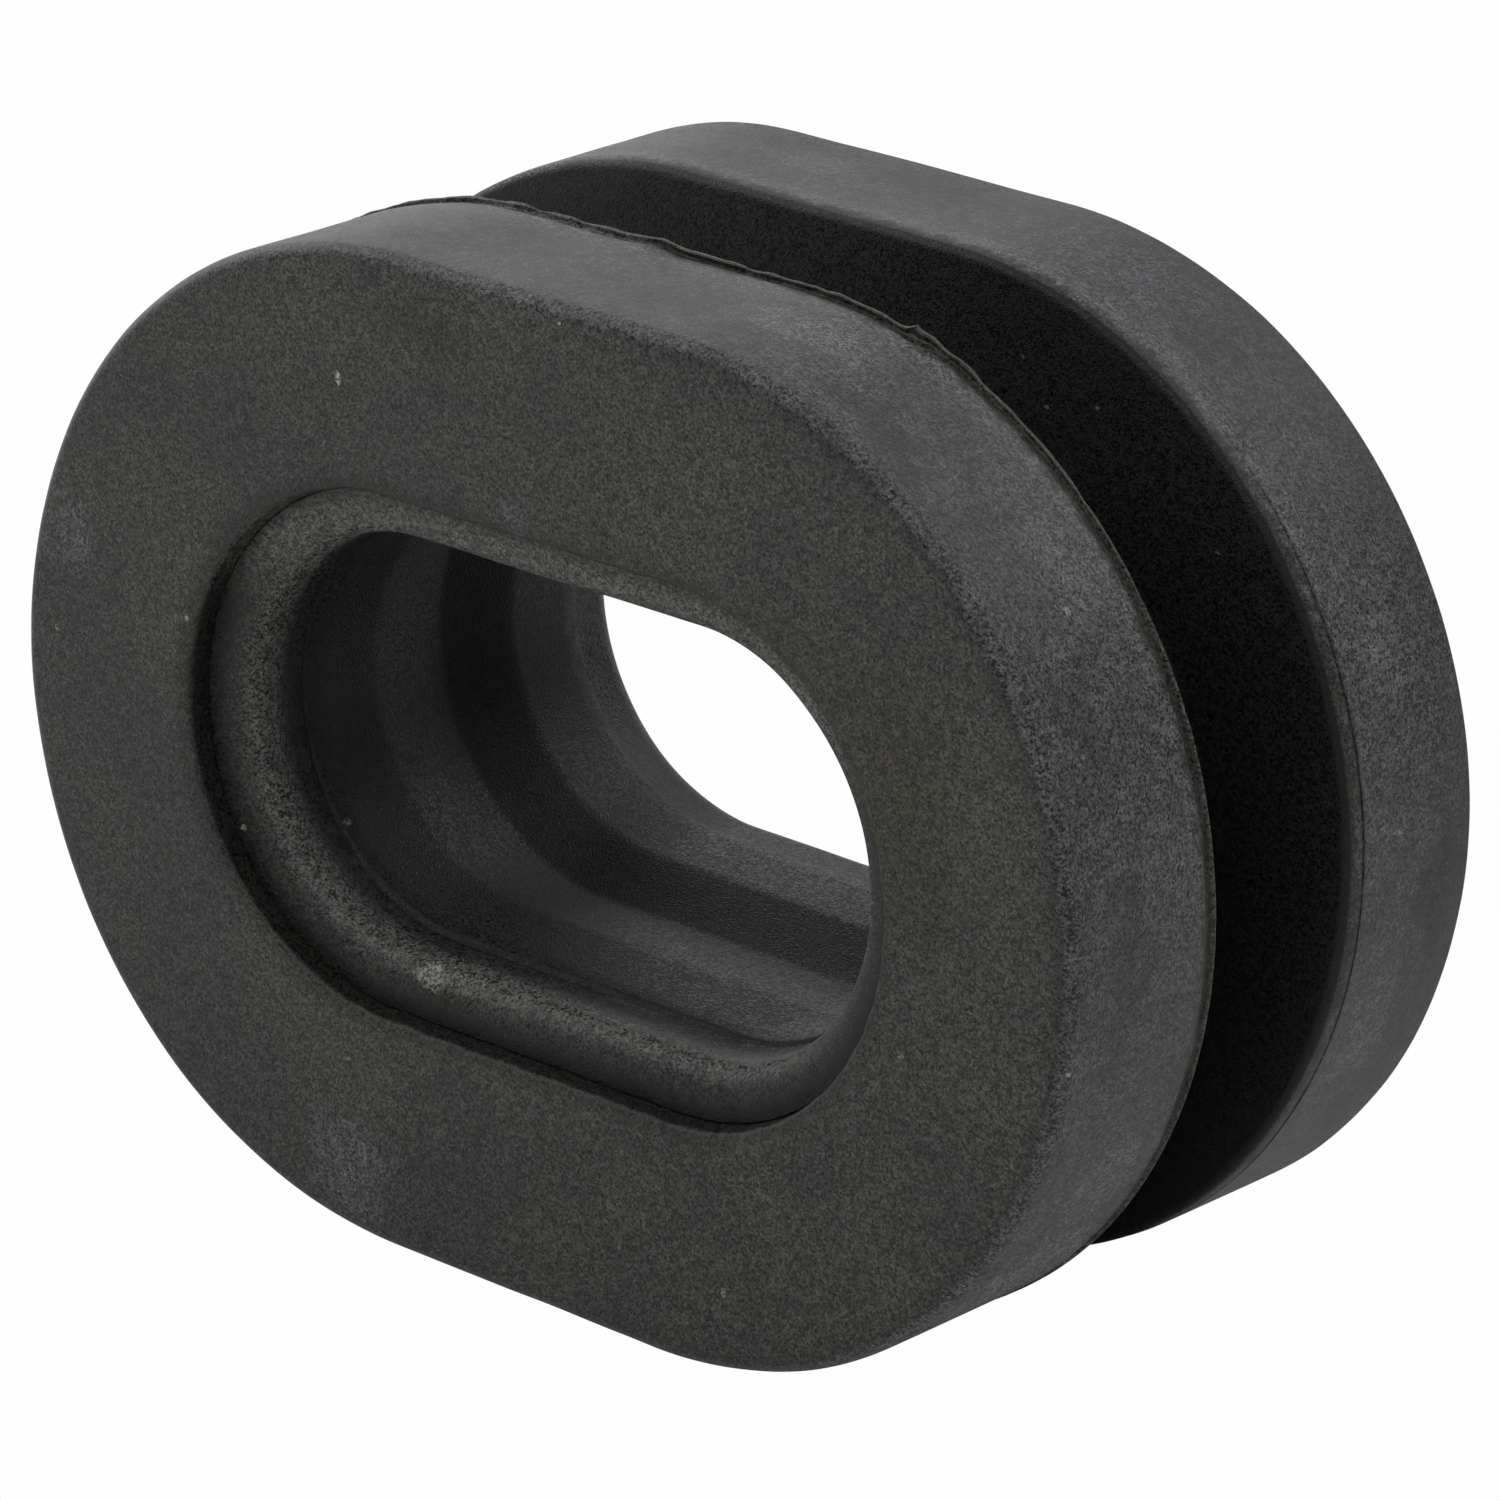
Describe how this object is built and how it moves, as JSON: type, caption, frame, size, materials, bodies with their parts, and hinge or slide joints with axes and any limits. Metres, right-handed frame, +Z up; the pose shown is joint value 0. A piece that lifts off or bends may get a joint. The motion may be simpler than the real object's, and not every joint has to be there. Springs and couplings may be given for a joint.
{
  "type": "radiator mount rubber",
  "caption": "Slot-shaped rubber grommet with thick flanges, a deep groove for a bracket plate and a beaded oval bore for a radiator's peg.",
  "frame": {"origin": "under the middle of the part, on the plane that the flat lower edges of both flanges stand on", "axes": "+X along the slot, +Y along the bore from the front face to the rear face, +Z up"},
  "size_m": [0.0484, 0.0208, 0.036],
  "materials": {
    "rubber": "matte moulded black rubber with a faint grey bloom"
  },
  "bodies": {
    "root": {"mount_rubber": "rubber"}
  },
  "joints": []
}
